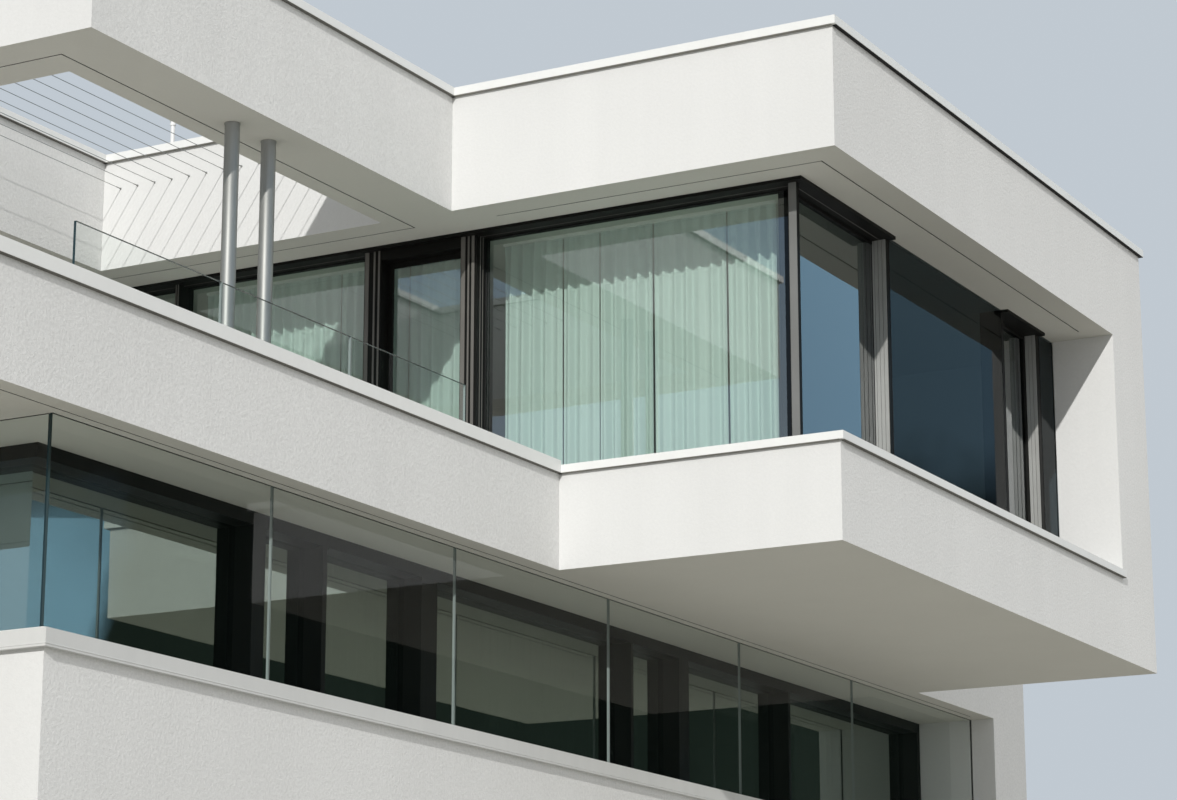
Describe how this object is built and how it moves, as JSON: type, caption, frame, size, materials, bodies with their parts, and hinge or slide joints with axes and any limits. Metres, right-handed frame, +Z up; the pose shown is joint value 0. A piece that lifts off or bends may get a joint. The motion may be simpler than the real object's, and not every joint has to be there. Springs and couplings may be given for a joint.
{
  "type": "detached house",
  "caption": "Modern white detached house: glazed box reaching past a terrace, open roof frame on round columns, glass screen round the floor below.",
  "frame": {"origin": "centre of the house's outline at ground level, under the middle of its bounding box", "axes": "+Z up, +X towards the face of the upper box, -Y towards the terrace front, metres"},
  "size_m": [14.08, 18.38, 11.145],
  "materials": {
    "render": "fine white render",
    "floor": "smooth white render and screed",
    "coping": "pale powder coat, matt",
    "frame_metal": "dark anodised, satin",
    "screen_glass": "clear laminated",
    "window_glass": "green-tinted, reflecting",
    "curtain": "sheer pleated cloth",
    "track": "white paint",
    "door": "dark grey paint, satin",
    "steel": "brushed"
  },
  "bodies": {
    "root": {"front_wall": "render", "wing_wall": "render", "right_wall": "render", "back_wall": "render", "left_wall": "render", "end_pier": "render", "gallery_returns": "render", "terrace_parapet": "render", "box_band": "render", "box_pier": "render", "box_end_wall": "render", "upper_side_wall": "render", "upper_back_wall": "render", "upper_left_wall": "render", "wing_upper_front": "render", "wing_upper_side": "render", "roof_frame": "render", "cross_upstands": "render", "long_upstands": "render", "ground_slab": "floor", "first_floor_slab": "floor", "second_floor_slab": "floor", "roof_slab": "floor", "lower_coping": "coping", "terrace_coping": "coping", "sill_coping": "coping", "cross_copings": "coping", "long_copings": "coping", "frame_coping": "coping", "first_rails": "frame_metal", "first_posts": "frame_metal", "upper_rails": "frame_metal", "upper_posts": "frame_metal", "window_rails": "frame_metal", "window_posts": "frame_metal", "screen_glass": "screen_glass", "rail_glass": "screen_glass", "first_glass": "window_glass", "upper_glass": "window_glass", "window_glass": "window_glass", "first_curtains": "curtain", "upper_curtain_right": "curtain", "upper_curtain_left": "curtain", "curtain_tracks": "track", "vent_pipe": "track", "entrance_door": "door", "columns": "steel", "roof_wires": "steel"}
  },
  "joints": []
}
